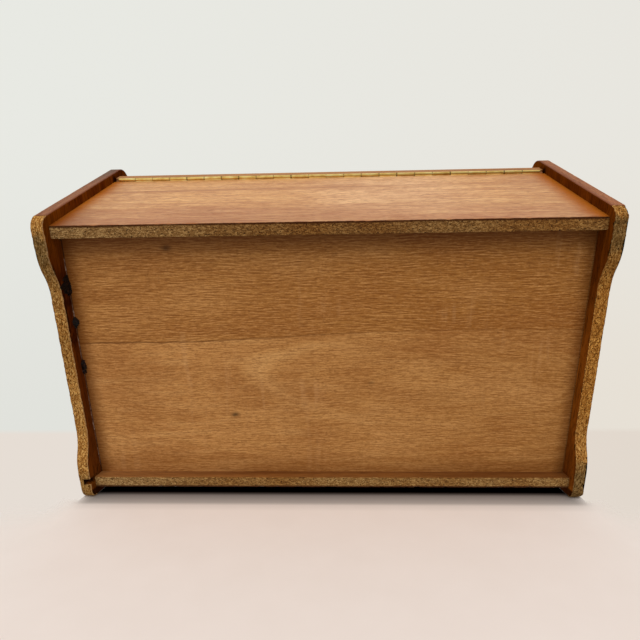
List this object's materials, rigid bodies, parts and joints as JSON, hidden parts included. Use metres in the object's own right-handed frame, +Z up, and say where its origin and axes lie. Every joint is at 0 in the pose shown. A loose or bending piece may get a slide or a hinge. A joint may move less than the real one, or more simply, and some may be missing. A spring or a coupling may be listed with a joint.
{
  "type": "sewing box",
  "caption": "Flared sewing box of veneered chipboard on scroll-cut end panels, with a flat lid on a brass piano hinge and a sliding divided tray inside.",
  "frame": {"origin": "on the ground under the middle of the box, centre of the bounding box's bottom", "axes": "+Z up, +X along the width towards the end panel whose front groove runs out through its foot, +Y towards the back panel and the hinge"},
  "size_m": [0.45, 0.321, 0.176],
  "materials": {
    "veneered_board": "veneered chipboard, satin lacquer on the faces, raw on the lower edges",
    "edge_veneer": "thin veneer strip, satin lacquer",
    "plywood": "plain plywood, unlacquered below",
    "pale_wood": "planed, thin lacquer",
    "brass": "rolled, slightly dulled",
    "steel": "plain wire",
    "dark_glue": "hard, glossy, nearly black"
  },
  "bodies": {
    "carcass": {"left_end_panel": "veneered_board", "right_end_panel": "veneered_board", "left_edge_band": "edge_veneer", "right_edge_band": "edge_veneer", "back_panel": "veneered_board", "front_panel": "veneered_board", "bottom_panel": "plywood", "glue_dabs": "dark_glue", "left_tray_runner": "pale_wood", "right_tray_runner": "pale_wood", "runner_brads": "steel", "hinge_fixed_leaf": "brass", "hinge_fixed_screws": "brass", "hinge_pin": "brass"},
    "lid": {"lid_panel": "veneered_board", "lid_front_band": "edge_veneer", "lid_back_band": "edge_veneer", "hinge_lid_leaf": "brass", "hinge_lid_screws": "brass"},
    "tray": {"tray_front": "pale_wood", "tray_back": "pale_wood", "tray_left_end": "pale_wood", "tray_right_end": "pale_wood", "tray_bottom": "plywood", "tray_long_divider": "pale_wood", "tray_cross_dividers": "pale_wood", "tray_brads": "steel"}
  },
  "joints": [
    {"name": "lid_hinge", "type": "hinge", "parent": "carcass", "child": "lid", "pos_m": [0, 0.15012, 0.1394], "axis": [-1, 0, 0], "range_deg": [0, 180]},
    {"name": "tray_slide", "type": "slide", "parent": "carcass", "child": "tray", "axis": [0, -1, 0], "range_m": [0, 0.126]}
  ]
}
